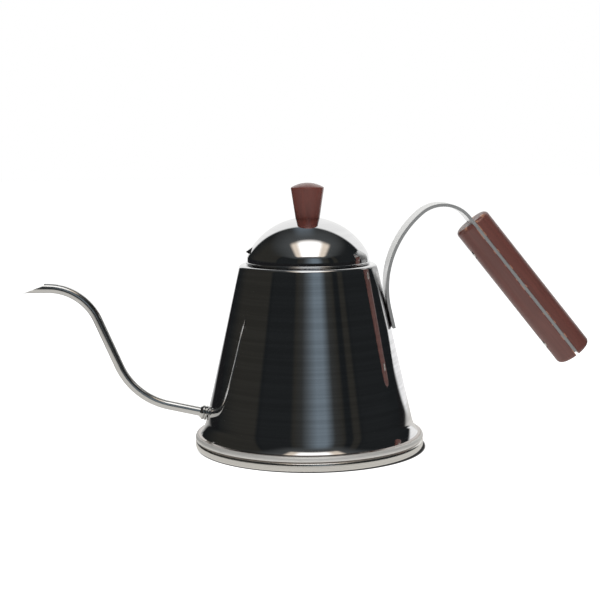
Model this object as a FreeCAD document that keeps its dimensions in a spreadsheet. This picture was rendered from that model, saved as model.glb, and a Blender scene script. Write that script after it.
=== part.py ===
import FreeCAD, Part
import os
import Sketcher

# Gooseneck pour-over kettle: +Z up, origin at the centre of the base on the resting plane,
# spout towards -X, handle towards +X. All lengths in millimetres, all angles in degrees.

doc = FreeCAD.newDocument("GooseneckKettle")

# Driving dimensions
SIZES = {
    # sheet metal
    "wall": 0.8,
    "fit_gap": 0.05,
    "lid_gap": 0.3,
    "screw_gap": 0.3,
    # body shell
    "ledge_height": 118.9,
    "shoulder_radius": 44.2,
    "shoulder_round": 2.4,
    "flare_rise": 4.0,
    "flare_run": 2.9,
    "flare_share": 0.88,
    "flare_corner_round": 0.5,
    "ledge_width": 7.6,
    "neck_depth": 8.0,
    "neck_round": 0.7,
    # base
    "bead_radius": 74.1,
    "bead_round": 2.3,
    "bead_lap": 3.3,
    "bead_height": 3.6,
    "bead_crown": 2.4,
    "seam_round": 0.8,
    "seam_height": 6.0,
    "seam_width": 4.4,
    "pan_recess": 2.2,
    "rest_width": 4.6,
    # spout
    "spout_lift": 8.4,
    "tube_radius": 3.0,
    "tube_wall": 0.7,
    "tube_inset": 1.5,
    "root_run": 28.0,
    "rise_radius": 45.0,
    "rise_turn": 54.1,
    "rise_run": 33.0,
    "crook_radius": 34.5,
    "crook_turn": 66.5,
    "tip_run": 12.4,
    "tip_radius": 18.0,
    "tip_turn": 25.0,
    "scarf_length": 16.5,
    # spout collar
    "collar_radius": 4.85,
    "collar_seat": 0.15,
    "collar_bead": 1.9,
    "collar_waist": 0.7,
    "collar_nose": 1.2,
    # handle strap
    "strap_shy": 0.6,
    "strap_thick": 2.0,
    "strap_leave_height": 90.0,
    "strap_weld": 12.7,
    "lift_radius": 61.0,
    "lift_heading": 17.2,
    "sweep_radius": 63.6,
    "sweep_heading": 49.0,
    "arch_radius": 21.3,
    "grip_heading": 141.5,
    "grip_offset": 4.0,
    "grip_stop": 3.0,
    # grip
    "grip_length": 110.5,
    "grip_radius": 12.1,
    "grip_round": 3.0,
    "screw_inset": 17.5,
    "screw_radius": 2.0,
    "screw_head_radius": 3.6,
    "screw_head_depth": 3.0,
    "head_sink": 1.6,
    "insert_radius": 3.0,
    "insert_length": 7.0,
    # lid
    "lip_inset": 4.0,
    "lip_width": 0.9,
    "lip_height": 1.4,
    "dome_wall_height": 5.16,
    "dome_rise": 24.59,
    "dome_turn_round": 10.0,
    "hood_reach": 1.9,
    "hood_width": 10.0,
    "hood_top": 35.6,
    "hood_drop": 6.8,
    "skirt_depth": 7.4,
    "skirt_gap": 0.35,
    # knob
    "knob_foot_radius": 7.8,
    "knob_top_radius": 10.75,
    "knob_height": 19.5,
    "knob_crown": 3.1,
    "knob_round": 0.8,
    "knob_insert_radius": 3.2,
    "knob_insert_length": 10.0,
    "knob_insert_inset": 0.4,
    "knob_screw_radius": 2.0,
    "knob_head_radius": 3.8,
    "knob_head_height": 2.4,
    "washer_radius": 6.0,
    "washer_thick": 1.0,
}

# Sizes that follow from the driving ones
FOLLOWS = {
    "flare_height": "Dims.seam_height + Dims.bead_height",
    "flare_radius": "Dims.bead_radius - Dims.bead_lap",
    "cone_foot_height": "Plan.flare_height + Dims.flare_rise",
    "cone_foot_radius": "Plan.flare_radius - Dims.flare_run",
    "cone_drop": "Dims.ledge_height - Plan.cone_foot_height",
    "cone_slope": "(Plan.cone_foot_radius - Dims.shoulder_radius) / Plan.cone_drop",
    "cone_angle": "atan(Plan.cone_slope) / (1 deg)",
    "flare_length": "sqrt(Dims.flare_rise ^ 2 + Dims.flare_run ^ 2)",
    "flare_turn": "atan(Dims.flare_run / Dims.flare_rise) / (1 deg) - Plan.cone_angle",
    "flare_round": "Dims.flare_share * Plan.flare_length / tan(Plan.flare_turn / 2)",
    "wall_across": "Dims.wall / cos(Plan.cone_angle)",
    "neck_radius": "Dims.shoulder_radius - Dims.ledge_width",
    "inner_drop": "Plan.cone_foot_height - Dims.seam_height",
    "inner_foot": "Plan.cone_foot_radius + Plan.inner_drop * Plan.cone_slope - Plan.wall_across",
    "inner_shoulder": "Dims.shoulder_radius + Dims.wall * Plan.cone_slope - Plan.wall_across",
    # spout path, along the spout's own axes from its root in the wall
    "spout_height": "Plan.cone_foot_height + Dims.spout_lift",
    "spout_wall_radius": "Plan.cone_foot_radius - Dims.spout_lift * Plan.cone_slope",
    "rise_x": "Dims.root_run + Dims.rise_radius * sin(Dims.rise_turn)",
    "rise_z": "Dims.rise_radius * (1 - cos(Dims.rise_turn))",
    "crook_x": "Plan.rise_x + Dims.rise_run * cos(Dims.rise_turn)",
    "crook_z": "Plan.rise_z + Dims.rise_run * sin(Dims.rise_turn)",
    "fall": "Dims.rise_turn - Dims.crook_turn",
    "mouth_x": "Plan.crook_x + Dims.crook_radius * (sin(Dims.rise_turn) - sin(Plan.fall))",
    "mouth_z": "Plan.crook_z + Dims.crook_radius * (cos(Plan.fall) - cos(Dims.rise_turn))",
    "bend_x": "Plan.mouth_x + Dims.tip_run * cos(Plan.fall)",
    "bend_z": "Plan.mouth_z + Dims.tip_run * sin(Plan.fall)",
    "tip_fall": "Plan.fall - Dims.tip_turn",
    "tip_x": "Plan.bend_x + Dims.tip_radius * (sin(Plan.fall) - sin(Plan.tip_fall))",
    "tip_z": "Plan.bend_z + Dims.tip_radius * (cos(Plan.tip_fall) - cos(Plan.fall))",
    # strap path, worked back from the grip's top end along the grip's own axes
    "arch_turn": "Dims.grip_heading - Dims.sweep_heading",
    "sweep_turn": "Dims.grip_heading - Dims.lift_heading",
    "foot_turn": "Dims.grip_heading + Plan.cone_angle",
    "strap_end": "Dims.grip_length - Dims.grip_stop",
    "arch_x": "-Dims.grip_offset - Dims.arch_radius * sin(Plan.arch_turn)",
    "arch_z": "Dims.arch_radius * (1 - cos(Plan.arch_turn))",
    "sweep_x": "Plan.arch_x - Dims.sweep_radius * (sin(Plan.sweep_turn) - sin(Plan.arch_turn))",
    "sweep_z": "Plan.arch_z + Dims.sweep_radius * (cos(Plan.arch_turn) - cos(Plan.sweep_turn))",
    "lift_x": "Plan.sweep_x - Dims.lift_radius * (sin(Plan.foot_turn) - sin(Plan.sweep_turn))",
    "lift_z": "Plan.sweep_z + Dims.lift_radius * (cos(Plan.sweep_turn) - cos(Plan.foot_turn))",
    "foot_run": "Dims.strap_weld / cos(Plan.cone_angle)",
    "foot_x": "Plan.lift_x - Plan.foot_run * cos(Plan.foot_turn)",
    "foot_z": "Plan.lift_z + Plan.foot_run * sin(Plan.foot_turn)",
    "strap_width": "2 * (Dims.grip_radius - Dims.strap_shy)",
    "strap_off": "Dims.strap_thick / 2 + Dims.fit_gap",
    "leave_rise": "Dims.strap_leave_height - Plan.cone_foot_height",
    "leave_radius": "Plan.cone_foot_radius - Plan.leave_rise * Plan.cone_slope",
    "leave_x": "Plan.leave_radius + Plan.strap_off * cos(Plan.cone_angle)",
    "leave_z": "Dims.strap_leave_height + Plan.strap_off * sin(Plan.cone_angle)",
    "grip_sin": "sin(Dims.grip_heading)",
    "grip_cos": "cos(Dims.grip_heading)",
    "grip_x": "Plan.leave_x - Plan.lift_x * Plan.grip_sin - Plan.lift_z * Plan.grip_cos",
    "grip_z": "Plan.leave_z - Plan.lift_x * Plan.grip_cos + Plan.lift_z * Plan.grip_sin",
    "screw_far": "Dims.grip_length - Dims.screw_inset",
    "hole_radius": "Dims.screw_radius + Dims.screw_gap",
    "bore_radius": "Dims.screw_head_radius + Dims.screw_gap",
    "head_seat": "Dims.grip_radius - Dims.head_sink - Dims.screw_head_depth",
    "insert_depth": "Plan.strap_off + Dims.insert_length",
    # lid heights
    "lip_bottom": "Dims.ledge_height + Dims.lid_gap",
    "lip_top": "Plan.lip_bottom + Dims.lip_height",
    "lip_radius": "Dims.shoulder_radius - Dims.lip_inset",
    "dome_wall_radius": "Plan.lip_radius - Dims.lip_width",
    "dome_radius": "(Plan.dome_wall_radius ^ 2 + Dims.dome_rise ^ 2) / (2 * Dims.dome_rise)",
    "dome_side": "Plan.lip_bottom + Dims.dome_wall_height",
    "dome_centre": "Plan.dome_side + Dims.dome_rise - Plan.dome_radius",
    "dome_inner": "Plan.dome_radius - Dims.wall",
    "dome_wall_inner": "Plan.dome_wall_radius - Dims.wall",
    "pad_z": "Plan.dome_centre + sqrt(Plan.dome_radius ^ 2 - Dims.knob_foot_radius ^ 2)",
    "pad_under": "Plan.dome_centre + sqrt(Plan.dome_inner ^ 2 - Dims.knob_foot_radius ^ 2)",
    "turn_reach": "Plan.dome_wall_radius - Dims.dome_turn_round",
    "turn_rise": "sqrt((Plan.dome_radius - Dims.dome_turn_round) ^ 2 - Plan.turn_reach ^ 2)",
    "turn_z": "Plan.dome_centre + Plan.turn_rise",
    "turn_inner_round": "Dims.dome_turn_round - Dims.wall",
    "turn_scale": "Plan.dome_radius / (Plan.dome_radius - Dims.dome_turn_round)",
    "turn_top_radius": "Plan.turn_reach * Plan.turn_scale",
    "turn_top_z": "Plan.dome_centre + Plan.turn_rise * Plan.turn_scale",
    "turn_inner_scale": "Plan.dome_inner / (Plan.dome_radius - Dims.dome_turn_round)",
    "turn_inner_radius": "Plan.turn_reach * Plan.turn_inner_scale",
    "turn_inner_z": "Plan.dome_centre + Plan.turn_rise * Plan.turn_inner_scale",
    "skirt_radius": "Plan.neck_radius - Dims.skirt_gap",
    "knob_edge": "Plan.pad_z + Dims.knob_height",
    "knob_top": "Plan.knob_edge + Dims.knob_crown",
    "crown_radius": "(Dims.knob_top_radius ^ 2 + Dims.knob_crown ^ 2) / (2 * Dims.knob_crown)",
    "knob_hole_radius": "Dims.knob_screw_radius + Dims.screw_gap",
    "insert_foot": "Plan.pad_z + Dims.knob_insert_inset",
    "insert_top": "Plan.insert_foot + Dims.knob_insert_length",
    "washer_foot": "Plan.pad_under - Dims.washer_thick",
    "head_foot": "Plan.washer_foot - Dims.knob_head_height",
    # collar along the spout's axis
    "root_depth": "Dims.wall + Dims.tube_inset",
    "collar_start": "Plan.root_depth + Dims.collar_seat",
    "collar_bore": "Dims.tube_radius + Dims.fit_gap",
    "collar_step": "Dims.collar_radius - Dims.collar_waist",
    "collar_bulge": "((Dims.collar_bead / 2) ^ 2 + Dims.collar_waist ^ 2) / (2 * Dims.collar_waist)",
    "collar_mid": "Plan.collar_start + Dims.collar_bead",
    "collar_end": "Plan.collar_mid + Dims.collar_bead",
    "collar_nose_end": "Plan.collar_end + Dims.collar_nose",
    "collar_nose_radius": "Plan.collar_bore + Dims.tube_wall / 2",
    "root_x": "-Plan.spout_wall_radius + Plan.root_depth * cos(Plan.cone_angle)",
    "root_z": "Plan.spout_height - Plan.root_depth * sin(Plan.cone_angle)",
    "tube_bore": "Dims.tube_radius - Dims.tube_wall",
}


def make_sheet(name, cells):
    """A spreadsheet with one named cell per size."""
    sheet = doc.addObject("Spreadsheet::Sheet", name)
    for row, (alias, content) in enumerate(cells.items(), start=1):
        cell = "A" + str(row)
        sheet.set(cell, content)
        sheet.setAlias(cell, alias)
    doc.recompute()
    return sheet


dims = make_sheet("Dims", {alias: str(value) for alias, value in SIZES.items()})
plan = make_sheet("Plan", {alias: "=" + formula for alias, formula in FOLLOWS.items()})


def number(expression):
    """The value of an expression of sheet cells, in millimetres or degrees."""
    value = plan.evalExpression(expression)
    return float(getattr(value, "Value", value))


def new_body(label, x="0", z="0", heading=None):
    """A body; with a heading its X axis points that many degrees from +Z towards +X."""
    body = doc.addObject("PartDesign::Body", label)
    body.Label = label
    rotation = FreeCAD.Rotation()
    if heading is not None:
        rotation = FreeCAD.Rotation(180, -90 - number(heading), 0)
    body.Placement = FreeCAD.Placement(FreeCAD.Vector(number(x), 0, number(z)), rotation)
    body.setExpression("Placement.Base.x", x)
    body.setExpression("Placement.Base.z", z)
    return body


def new_sketch(body, name, role, offset=None):
    """A sketch on one of the body's own origin planes, moved along its normal by offset."""
    sketch = body.newObject("Sketcher::SketchObject", name)
    plane = next(f for f in body.Origin.OriginFeatures if f.Role == role)
    sketch.AttachmentSupport = (plane, [""])
    sketch.MapMode = "FlatFace"
    if offset is not None:
        sketch.setExpression("AttachmentOffset.Base.z", offset)
    return sketch


def bind(sketch, constraint, expression):
    """Add a dimension to a sketch and tie it to the sheets."""
    index = sketch.addConstraint(constraint)
    sketch.setExpression("Constraints[" + str(index) + "]", expression)


def place_point(sketch, edge, end, x, y):
    """Hold one end of an edge at the place that two expressions give."""
    for kind, axis, expression in (("DistanceX", -2, x), ("DistanceY", -1, y)):
        value = number(expression)
        if abs(value) < 1e-9:
            sketch.addConstraint(Sketcher.Constraint("PointOnObject", edge, end, axis))
        elif value > 0:
            bind(sketch, Sketcher.Constraint(kind, -1, 1, edge, end, value), expression)
        else:
            flipped = "-(" + expression + ")"
            bind(sketch, Sketcher.Constraint(kind, edge, end, -1, 1, -value), flipped)


def arc_between(start, end, radius, side):
    """The short arc of a radius between two points, its centre left (1) or right (-1)."""
    chord = end - start
    across = FreeCAD.Vector(-chord.y, chord.x, 0).normalize()
    height = (radius ** 2 - (chord.Length / 2) ** 2) ** 0.5
    centre = (start + end) / 2 + across * side * height
    first, last = (start, end) if side > 0 else (end, start)
    middle = centre + ((start + end) / 2 - centre).normalize() * radius
    return Part.ArcOfCircle(first, middle, last)


def join(sketch, edge, end, next_edge, next_end):
    """Hold the ends of two edges together."""
    sketch.addConstraint(Sketcher.Constraint("Coincident", edge, end, next_edge, next_end))


def draw(sketch, corners, closed=True):
    """Lines and arcs through corners: (x, y) ends a line, (x, y, radius, side) an arc."""
    points = [FreeCAD.Vector(number(corner[0]), number(corner[1]), 0) for corner in corners]
    count = len(corners) if closed else len(corners) - 1
    ends = []
    for index in range(count):
        target = (index + 1) % len(corners)
        start, end, corner = points[index], points[target], corners[target]
        if len(corner) == 2:
            sketch.addGeometry(Part.LineSegment(start, end))
            ends.append((1, 2))
        else:
            sketch.addGeometry(arc_between(start, end, number(corner[2]), corner[3]))
            ends.append((1, 2) if corner[3] > 0 else (2, 1))
            bind(sketch, Sketcher.Constraint("Radius", index, number(corner[2])), corner[2])
    for index in range(count - 1):
        join(sketch, index, ends[index][1], index + 1, ends[index + 1][0])
    if closed:
        join(sketch, count - 1, ends[-1][1], 0, ends[0][0])
    for index in range(count):
        place_point(sketch, index, ends[index][0], corners[index][0], corners[index][1])
    if not closed:
        place_point(sketch, count - 1, ends[-1][1], corners[-1][0], corners[-1][1])
    return sketch


def draw_circles(sketch, circles):
    """Circles (x, y, radius) held at their places."""
    for index, (x, y, radius) in enumerate(circles):
        centre = FreeCAD.Vector(number(x), number(y), 0)
        sketch.addGeometry(Part.Circle(centre, FreeCAD.Vector(0, 0, 1), number(radius)))
        bind(sketch, Sketcher.Constraint("Radius", index, number(radius)), radius)
        place_point(sketch, index, 3, x, y)
    return sketch


def turn(body, corners, axis="V_Axis"):
    """Revolve an outline about one of its sketch's axes."""
    sketch = draw(new_sketch(body, "Profile", "XZ_Plane"), corners)
    solid = body.newObject("PartDesign::Revolution", "Turned")
    solid.Profile = sketch
    solid.ReferenceAxis = (sketch, [axis])
    solid.Angle = 360
    doc.recompute()
    return solid


def round_edges(body, chosen, radius):
    """Fillet the edges of the body's tip that the chosen test picks."""
    base = body.Tip
    names = ["Edge" + str(i) for i, edge in enumerate(base.Shape.Edges, start=1) if chosen(edge)]
    fillet = body.newObject("PartDesign::Fillet", "Round")
    fillet.Base = (base, names)
    fillet.Radius = number(radius)
    fillet.setExpression("Radius", radius)
    doc.recompute()
    return fillet


def round_ring(body, x, z, radius):
    """Fillet the circular edge of a turned body at a radius and a height."""

    def on_ring(edge):
        if edge.Degenerated or not isinstance(edge.Curve, Part.Circle):
            return False
        centre = edge.Curve.Center
        near = abs(edge.Curve.Radius - number(x)) < 1e-4 and abs(centre.z - number(z)) < 1e-4
        return near and abs(centre.x) < 1e-4 and abs(centre.y) < 1e-4

    return round_edges(body, on_ring, radius)


def pad(body, sketch, length, reverse=False):
    """Pad a sketch along its normal."""
    solid = body.newObject("PartDesign::Pad", "Pad")
    solid.Profile = sketch
    solid.Length = number(length)
    solid.setExpression("Length", length)
    solid.Reversed = reverse
    doc.recompute()
    return solid


def pocket(body, sketch, length=None, reverse=False, middle=False):
    """Cut a sketch against its normal, or right through when no length is given."""
    before = body.Tip.Shape.Volume
    cut = body.newObject("PartDesign::Pocket", "Cut")
    cut.Profile = sketch
    cut.Reversed = reverse
    cut.Midplane = middle
    if length is None:
        cut.Type = "ThroughAll"
    else:
        cut.Length = number(length)
        cut.setExpression("Length", length)
    doc.recompute()
    assert cut.Shape.Volume < before, body.Label + ": a cut removed nothing"
    return cut


def sweep(body, profile, path):
    """Pipe a profile along a path of lines and tangent arcs."""
    pipe = body.newObject("PartDesign::AdditivePipe", "Pipe")
    pipe.Profile = profile
    pipe.Spine = (path, ["Edge" + str(i + 1) for i in range(path.GeometryCount)])
    doc.recompute()
    return pipe


# Body shell: neck, ledge, shoulder, cone, flare and foot bead in one drawn sheet
def make_body_shell():
    body = new_body("body_shell")
    inside_top = "Dims.ledge_height - Dims.wall"
    turn(body, [
        ("Plan.neck_radius", "Dims.ledge_height - Dims.neck_depth"),
        ("Plan.neck_radius", "Dims.ledge_height"),
        ("Dims.shoulder_radius", "Dims.ledge_height"),
        ("Plan.cone_foot_radius", "Plan.cone_foot_height"),
        ("Plan.flare_radius", "Plan.flare_height"),
        ("Dims.bead_radius", "Plan.flare_height"),
        ("Dims.bead_radius", "Dims.seam_height"),
        ("Plan.inner_foot", "Dims.seam_height"),
        ("Plan.inner_shoulder", inside_top),
        ("Plan.neck_radius + Dims.wall", inside_top),
        ("Plan.neck_radius + Dims.wall", "Dims.ledge_height - Dims.neck_depth"),
    ])
    round_ring(body, "Dims.shoulder_radius", "Dims.ledge_height", "Dims.shoulder_round")
    round_ring(body, "Plan.inner_shoulder", inside_top, "Dims.shoulder_round - Dims.wall")
    round_ring(body, "Plan.neck_radius", "Dims.ledge_height", "Dims.neck_round")
    round_ring(body, "Plan.cone_foot_radius", "Plan.cone_foot_height", "Plan.flare_round")
    round_ring(body, "Plan.flare_radius", "Plan.flare_height", "Dims.flare_corner_round")
    round_ring(body, "Dims.bead_radius", "Plan.flare_height", "Dims.bead_crown")
    round_ring(body, "Dims.bead_radius", "Dims.seam_height", "Dims.seam_round")
    before = body.Tip.Shape.Volume
    cut = body.newObject("PartDesign::SubtractiveCylinder", "SpoutHole")
    cut.Radius = number("Plan.collar_bore")
    cut.setExpression("Radius", "Plan.collar_bore")
    cut.Height = number("Plan.root_depth * 2")
    cut.setExpression("Height", "Plan.root_depth * 2")
    cut.Placement = FreeCAD.Placement(
        FreeCAD.Vector(number("Plan.root_x"), 0, number("Plan.root_z")),
        FreeCAD.Rotation(180, -90 - number("-90 + Plan.cone_angle"), 0) * FreeCAD.Rotation(0, 90, 0),
    )
    doc.recompute()
    assert cut.Shape.Volume < before, "body_shell: the spout hole removed nothing"
    return body


# Bottom pan: recessed disc with a hem that seats under the foot bead and stands on its ring
def make_bottom_pan():
    body = new_body("bottom_pan")
    hem_inner = "Dims.bead_radius - Dims.seam_width"
    rest_inner = "Dims.bead_radius - Dims.rest_width"
    turn(body, [
        ("0", "Dims.pan_recess"),
        (rest_inner, "Dims.pan_recess"),
        (rest_inner, "0"),
        ("Dims.bead_radius", "0"),
        ("Dims.bead_radius", "Dims.seam_height"),
        (hem_inner + " - Dims.wall", "Dims.seam_height"),
        (hem_inner + " - Dims.wall", "Dims.pan_recess + Dims.wall"),
        ("0", "Dims.pan_recess + Dims.wall"),
    ])
    round_ring(body, "Dims.bead_radius", "0", "Dims.bead_round")
    round_ring(body, "Dims.bead_radius", "Dims.seam_height", "Dims.bead_round")
    return body


# Gooseneck: a tube piped along straight runs and tangent arcs, with a scarf-cut lip
def make_spout_tube():
    body = new_body("spout_tube", "Plan.root_x", "Plan.root_z", "-90 + Plan.cone_angle")
    path = draw(new_sketch(body, "Path", "XZ_Plane"), [
        ("0", "0"),
        ("Dims.root_run", "0"),
        ("Plan.rise_x", "Plan.rise_z", "Dims.rise_radius", 1),
        ("Plan.crook_x", "Plan.crook_z"),
        ("Plan.mouth_x", "Plan.mouth_z", "Dims.crook_radius", -1),
        ("Plan.bend_x", "Plan.bend_z"),
        ("Plan.tip_x", "Plan.tip_z", "Dims.tip_radius", -1),
    ], closed=False)
    rings = draw_circles(new_sketch(body, "Ring", "YZ_Plane"), [
        ("0", "0", "Dims.tube_radius"),
        ("0", "0", "Plan.tube_bore"),
    ])
    sweep(body, rings, path)
    low_x = "Plan.tip_x + Dims.tube_radius * sin(Plan.tip_fall)"
    low_z = "Plan.tip_z - Dims.tube_radius * cos(Plan.tip_fall)"
    high_x = low_x + " - Dims.scarf_length * cos(Plan.fall) - 2 * Dims.tube_radius * sin(Plan.fall)"
    high_z = low_z + " - Dims.scarf_length * sin(Plan.fall) + 2 * Dims.tube_radius * cos(Plan.fall)"
    reach = " + 4 * Dims.tube_radius"
    scarf = draw(new_sketch(body, "Scarf", "XZ_Plane"), [
        (low_x, low_z),
        (low_x + reach, low_z),
        (low_x + reach, high_z + reach),
        (high_x, high_z + reach),
        (high_x, high_z),
    ])
    pocket(body, scarf, middle=True)
    return body


# Collar: a ferrule of two beads and a short nose round the tube, seated on the cone
def make_spout_collar():
    body = new_body("spout_collar", "Plan.root_x", "Plan.root_z", "-90 + Plan.cone_angle")
    turn(body, [
        ("Plan.collar_start", "Plan.collar_bore"),
        ("Plan.collar_start", "Plan.collar_step"),
        ("Plan.collar_mid", "Plan.collar_step", "Plan.collar_bulge", -1),
        ("Plan.collar_end", "Plan.collar_step", "Plan.collar_bulge", -1),
        ("Plan.collar_nose_end", "Plan.collar_nose_radius"),
        ("Plan.collar_nose_end", "Plan.collar_bore"),
    ], axis="H_Axis")
    return body


# Handle: a flat bar that lies on the cone, arches over and runs down between the grip halves
def make_handle_strap():
    body = new_body("handle_strap", "Plan.grip_x", "Plan.grip_z", "Dims.grip_heading")
    path = draw(new_sketch(body, "Path", "XZ_Plane"), [
        ("Plan.strap_end", "0"),
        ("-Dims.grip_offset", "0"),
        ("Plan.arch_x", "Plan.arch_z", "Dims.arch_radius", -1),
        ("Plan.sweep_x", "Plan.sweep_z", "Dims.sweep_radius", -1),
        ("Plan.lift_x", "Plan.lift_z", "Dims.lift_radius", -1),
        ("Plan.foot_x", "Plan.foot_z"),
    ], closed=False)
    half_width, half_thick = "Plan.strap_width / 2", "Dims.strap_thick / 2"
    bar = draw(new_sketch(body, "Bar", "YZ_Plane", "Plan.strap_end"), [
        ("-" + half_width, "-" + half_thick),
        (half_width, "-" + half_thick),
        (half_width, half_thick),
        ("-" + half_width, half_thick),
    ])
    sweep(body, bar, path)
    pocket(body, screw_circles(body, "Plan.hole_radius"), "2 * Dims.strap_thick", middle=True)
    return body


def screw_circles(body, radius, offset=None):
    """One circle for each of the grip's two screws."""
    sketch = new_sketch(body, "ScrewPlaces", "XY_Plane", offset)
    return draw_circles(sketch, [("Dims.screw_inset", "0", radius), ("Plan.screw_far", "0", radius)])


# Grip half: a D section padded along the grip's axis, below (side 1) or above (side -1) the strap
def make_grip_half(label, side):
    body = new_body(label, "Plan.grip_x", "Plan.grip_z", "Dims.grip_heading")
    chord = "sqrt(Dims.grip_radius ^ 2 - Plan.strap_off ^ 2)"
    flat = "Plan.strap_off" if side > 0 else "-Plan.strap_off"
    crest = "Dims.grip_radius" if side > 0 else "-Dims.grip_radius"
    section = draw(new_sketch(body, "Section", "YZ_Plane"), [
        ("-" + chord, flat, "Dims.grip_radius", side),
        (chord, flat),
        ("0", crest, "Dims.grip_radius", side),
    ])
    pad(body, section, "Dims.grip_length")

    def at_end(edge):
        return isinstance(edge.Curve, Part.Circle)

    round_edges(body, at_end, "Dims.grip_round")
    return body


def make_grip_lower_half():
    body = make_grip_half("grip_lower_half", 1)
    pocket(body, screw_circles(body, "Plan.hole_radius"), middle=True)
    pocket(body, screw_circles(body, "Plan.bore_radius", "Plan.head_seat"), reverse=True)
    return body


def make_grip_upper_half():
    body = make_grip_half("grip_upper_half", -1)
    pocket(body, screw_circles(body, "Dims.insert_radius"), "Plan.insert_depth")
    return body


def make_grip_screws():
    body = new_body("grip_screws", "Plan.grip_x", "Plan.grip_z", "Dims.grip_heading")
    shank = screw_circles(body, "Dims.screw_radius", "Plan.head_seat")
    pad(body, shank, "Plan.head_seat + Plan.insert_depth - Dims.fit_gap", reverse=True)
    heads = screw_circles(body, "Dims.screw_head_radius", "Plan.head_seat")
    pad(body, heads, "Dims.screw_head_depth")
    return body


def make_grip_inserts():
    body = new_body("grip_inserts", "Plan.grip_x", "Plan.grip_z", "Dims.grip_heading")
    outer = screw_circles(body, "Dims.insert_radius - Dims.fit_gap", "-Plan.strap_off")
    pad(body, outer, "Dims.insert_length", reverse=True)
    pocket(body, screw_circles(body, "Dims.screw_radius + Dims.fit_gap"), middle=True)
    return body


# Lid: a spherical dome on a short wall with a lip
def make_lid_dome():
    body = new_body("lid_dome")
    turn(body, [
        ("Plan.knob_hole_radius", "Plan.pad_z"),
        ("Dims.knob_foot_radius", "Plan.pad_z"),
        ("Plan.turn_top_radius", "Plan.turn_top_z", "Plan.dome_radius", -1),
        ("Plan.dome_wall_radius", "Plan.turn_z", "Dims.dome_turn_round", -1),
        ("Plan.dome_wall_radius", "Plan.lip_top"),
        ("Plan.lip_radius", "Plan.lip_top"),
        ("Plan.lip_radius", "Plan.lip_bottom"),
        ("Plan.dome_wall_inner", "Plan.lip_bottom"),
        ("Plan.dome_wall_inner", "Plan.turn_z"),
        ("Plan.turn_inner_radius", "Plan.turn_inner_z", "Plan.turn_inner_round", 1),
        ("Dims.knob_foot_radius", "Plan.pad_under", "Plan.dome_inner", 1),
        ("Plan.knob_hole_radius", "Plan.pad_under"),
    ])
    add_steam_hood(body)
    return body


def add_steam_hood(body):
    """Push a louvre out of the dome on the spout side and open it underneath."""

    def on_dome(radius, angle):
        """A point at a radius and an angle above level, about the dome's centre."""
        x = "-(" + radius + ") * cos(" + angle + ")"
        return x, "Plan.dome_centre + (" + radius + ") * sin(" + angle + ")"

    middle_of_wall = "Plan.dome_radius - Dims.wall / 2"
    inside = "Plan.dome_radius - 2 * Dims.wall"
    nose = "Plan.dome_radius + Dims.hood_reach"
    foot = "Dims.hood_top - Dims.hood_drop"
    hood = draw(new_sketch(body, "Hood", "XZ_Plane"), [
        on_dome(middle_of_wall, "Dims.hood_top"),
        on_dome(nose, foot),
        on_dome(middle_of_wall, foot),
    ])
    bump = pad(body, hood, "Dims.hood_width")
    bump.Midplane = True
    doc.recompute()
    under = draw(new_sketch(body, "HoodOpening", "XZ_Plane"), [
        on_dome(inside, "Dims.hood_top - Dims.hood_drop / 4"),
        on_dome(nose + " - Dims.wall", foot + " - Dims.hood_drop / 20"),
        on_dome(middle_of_wall, foot + " - Dims.hood_drop / 20"),
        on_dome(inside, foot),
    ])
    pocket(body, under, "Dims.hood_width - 2 * Dims.wall", middle=True)


# Skirt: a ring with a flange against the dome's wall, which locates the lid in the neck
def make_lid_skirt():
    body = new_body("lid_skirt")
    flange = "Plan.dome_wall_inner - Dims.fit_gap"
    bottom = "Dims.ledge_height - Dims.skirt_depth"
    inner = "Plan.skirt_radius - Dims.wall"
    turn(body, [
        (inner, bottom),
        ("Plan.skirt_radius", bottom),
        ("Plan.skirt_radius", "Plan.lip_bottom"),
        (flange, "Plan.lip_bottom"),
        (flange, "Plan.lip_bottom + Dims.wall"),
        (inner, "Plan.lip_bottom + Dims.wall"),
    ])
    return body


# Knob: tapered and crowned, with a blind hole for its insert
def make_lid_knob():
    body = new_body("lid_knob")
    turn(body, [
        ("Dims.knob_insert_radius", "Plan.pad_z"),
        ("Dims.knob_foot_radius", "Plan.pad_z"),
        ("Dims.knob_top_radius", "Plan.knob_edge"),
        ("0", "Plan.knob_top", "Plan.crown_radius", 1),
        ("0", "Plan.insert_top"),
        ("Dims.knob_insert_radius", "Plan.insert_top"),
    ])
    round_ring(body, "Dims.knob_top_radius", "Plan.knob_edge", "Dims.knob_round")
    return body


def make_knob_insert():
    body = new_body("knob_insert")
    bore = "Dims.knob_screw_radius + Dims.fit_gap"
    sleeve = "Dims.knob_insert_radius - Dims.fit_gap"
    turn(body, [
        (bore, "Plan.insert_foot"),
        (sleeve, "Plan.insert_foot"),
        (sleeve, "Plan.insert_top"),
        (bore, "Plan.insert_top"),
    ])
    return body


def make_knob_screw():
    body = new_body("knob_screw")
    tip = "Plan.insert_top - Dims.fit_gap"
    turn(body, [
        ("0", "Plan.head_foot"),
        ("Dims.knob_head_radius", "Plan.head_foot"),
        ("Dims.knob_head_radius", "Plan.washer_foot"),
        ("Dims.knob_screw_radius", "Plan.washer_foot"),
        ("Dims.knob_screw_radius", tip),
        ("0", tip),
    ])
    return body


def make_knob_washer():
    body = new_body("knob_washer")
    turn(body, [
        ("Plan.knob_hole_radius", "Plan.washer_foot"),
        ("Dims.washer_radius", "Plan.washer_foot"),
        ("Dims.washer_radius", "Plan.pad_under"),
        ("Plan.knob_hole_radius", "Plan.pad_under"),
    ])
    return body


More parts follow.
